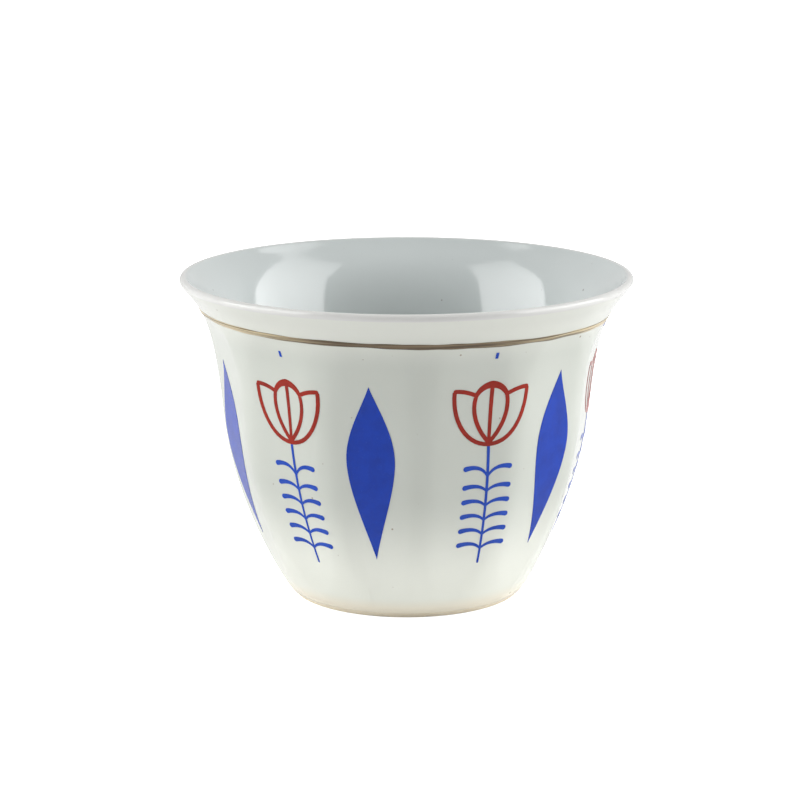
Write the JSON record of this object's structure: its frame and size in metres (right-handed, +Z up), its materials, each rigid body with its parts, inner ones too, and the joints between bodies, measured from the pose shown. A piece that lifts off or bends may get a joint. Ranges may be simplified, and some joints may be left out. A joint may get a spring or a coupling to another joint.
{
  "type": "arabic coffee cup",
  "caption": "Small handleless porcelain coffee cup with a panelled tapering wall, flared rounded rim, gold line and printed tulip, sprig and leaf motifs.",
  "frame": {"origin": "centre of the foot ring, on the plane that the cup stands on", "axes": "+Z up along the cup's axis of revolution; -Y faces the front, which the picture shows"},
  "size_m": [0.07, 0.07, 0.0503],
  "materials": {
    "bisque": "bare fired porcelain, matt, shown on the foot ring",
    "outside_glaze": "glossy warm greenish white glaze with a few fine specks",
    "inside_glaze": "glossy cool bluish white glaze that wraps over the lip",
    "gold_lustre": "thin hand-drawn gold lustre, slightly streaked and browned",
    "red_print": "brick red fired transfer print, glossy",
    "blue_print": "cobalt blue fired transfer print, glossy"
  },
  "bodies": {
    "root": {"porcelain_body": "bisque", "outside_glaze": "outside_glaze", "inside_glaze": "inside_glaze", "foot_well_glaze": "inside_glaze", "gilt_line": "gold_lustre", "tulip_print_1": "red_print", "tulip_print_2": "red_print", "tulip_print_3": "red_print", "tulip_print_4": "red_print", "tulip_print_5": "red_print", "tulip_print_6": "red_print", "sprig_print_1": "blue_print", "sprig_print_2": "blue_print", "sprig_print_3": "blue_print", "sprig_print_4": "blue_print", "sprig_print_5": "blue_print", "sprig_print_6": "blue_print", "leaf_print_1": "blue_print", "leaf_print_2": "blue_print", "leaf_print_3": "blue_print", "leaf_print_4": "blue_print", "leaf_print_5": "blue_print", "leaf_print_6": "blue_print", "tick_print_1": "blue_print", "tick_print_2": "blue_print", "tick_print_3": "blue_print", "tick_print_4": "blue_print", "tick_print_5": "blue_print", "tick_print_6": "blue_print"}
  },
  "joints": []
}
